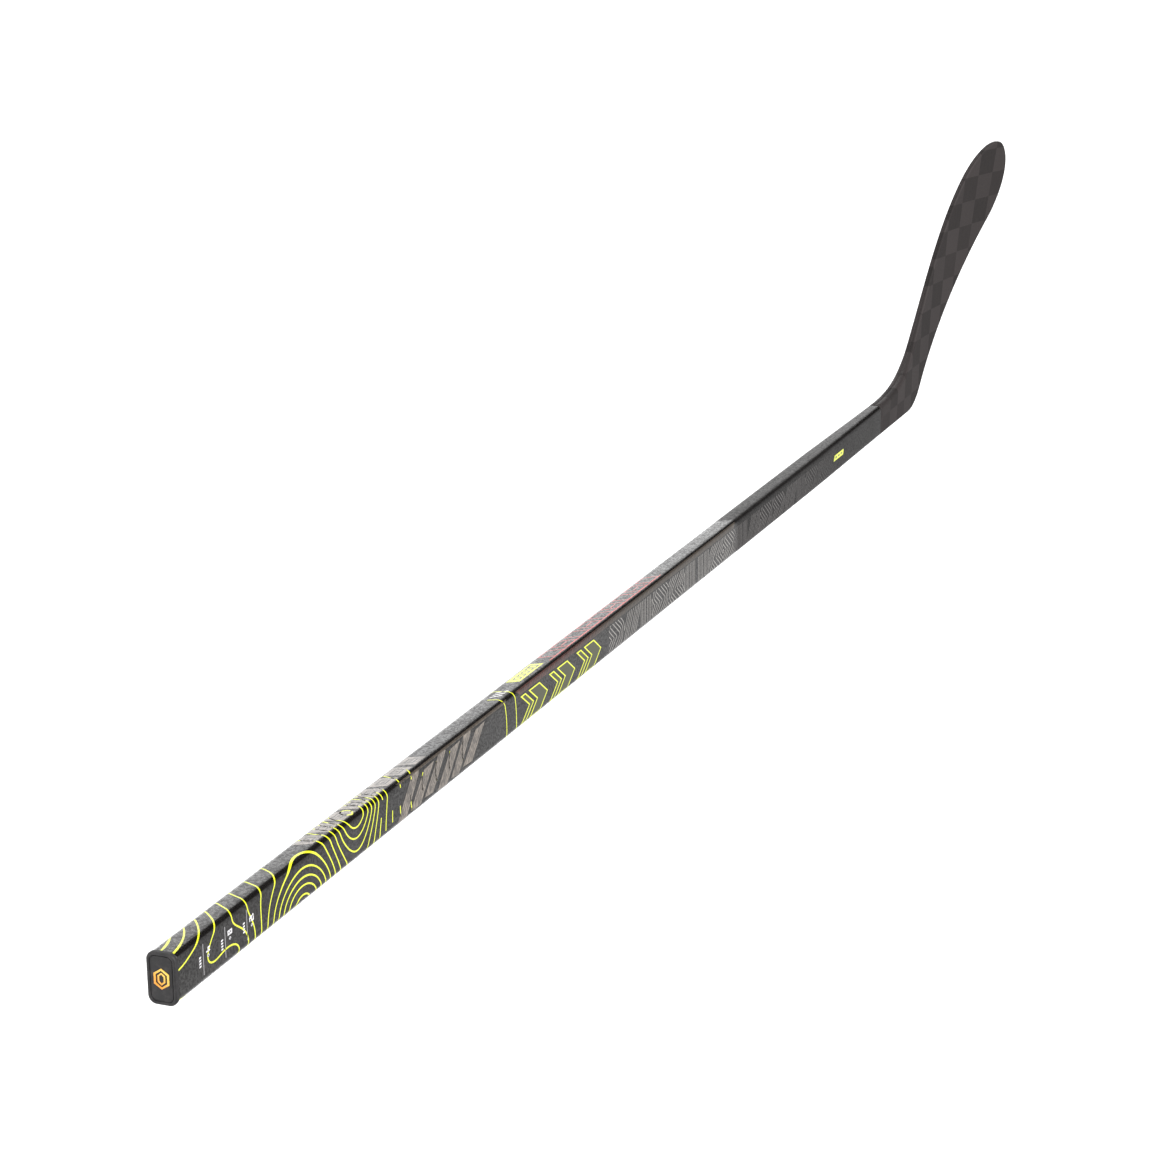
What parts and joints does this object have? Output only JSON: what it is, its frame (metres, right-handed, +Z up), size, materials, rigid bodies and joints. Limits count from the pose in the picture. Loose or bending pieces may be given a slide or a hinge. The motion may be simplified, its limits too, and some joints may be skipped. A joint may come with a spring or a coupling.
{
  "type": "ice hockey stick",
  "caption": "Left-handed ice hockey stick: long hollow rounded-rectangular shaft with a butt plug, thinning into a curved, rounded-toe blade set at an angle.",
  "frame": {"origin": "middle of the whole stick's bounding box, on the level of its lowest face, with the stick lying on its backhand side", "axes": "+X along the shaft from the butt to the blade, +Y across the shaft to the toe's side, +Z up, out of the forehand face"},
  "size_m": [1.7296, 0.2486, 0.0524],
  "materials": {
    "shaft": "carbon laminate under a satin clear coat, with printed line work",
    "blade": "matte carbon laminate in a large checked weave",
    "cap": "matte moulded rubber",
    "plug": "moulded plastic",
    "emblem": "orange moulded inlay",
    "hosel": "fibre-filled resin",
    "heel": "fibre-filled resin",
    "toe": "hard moulded plastic",
    "rail": "fibre rope in resin",
    "foam": "closed-cell structural foam",
    "stringer": "carbon rib"
  },
  "bodies": {
    "stick": {"shaft_tube": "shaft", "hosel_core": "hosel", "heel_block": "heel", "toe_insert": "toe", "bottom_rail": "rail", "lower_core": "foam", "lower_stringer": "stringer", "middle_core": "foam", "upper_stringer": "stringer", "upper_core": "foam", "top_rail": "rail", "front_skin": "blade", "back_skin": "blade"},
    "end_plug": {"end_cap": "cap", "plug_stem": "plug", "cap_emblem": "emblem"}
  },
  "joints": [
    {"name": "plug_pull", "type": "slide", "parent": "stick", "child": "end_plug", "axis": [-1, 0, 0], "range_m": [0, 0.044]}
  ]
}
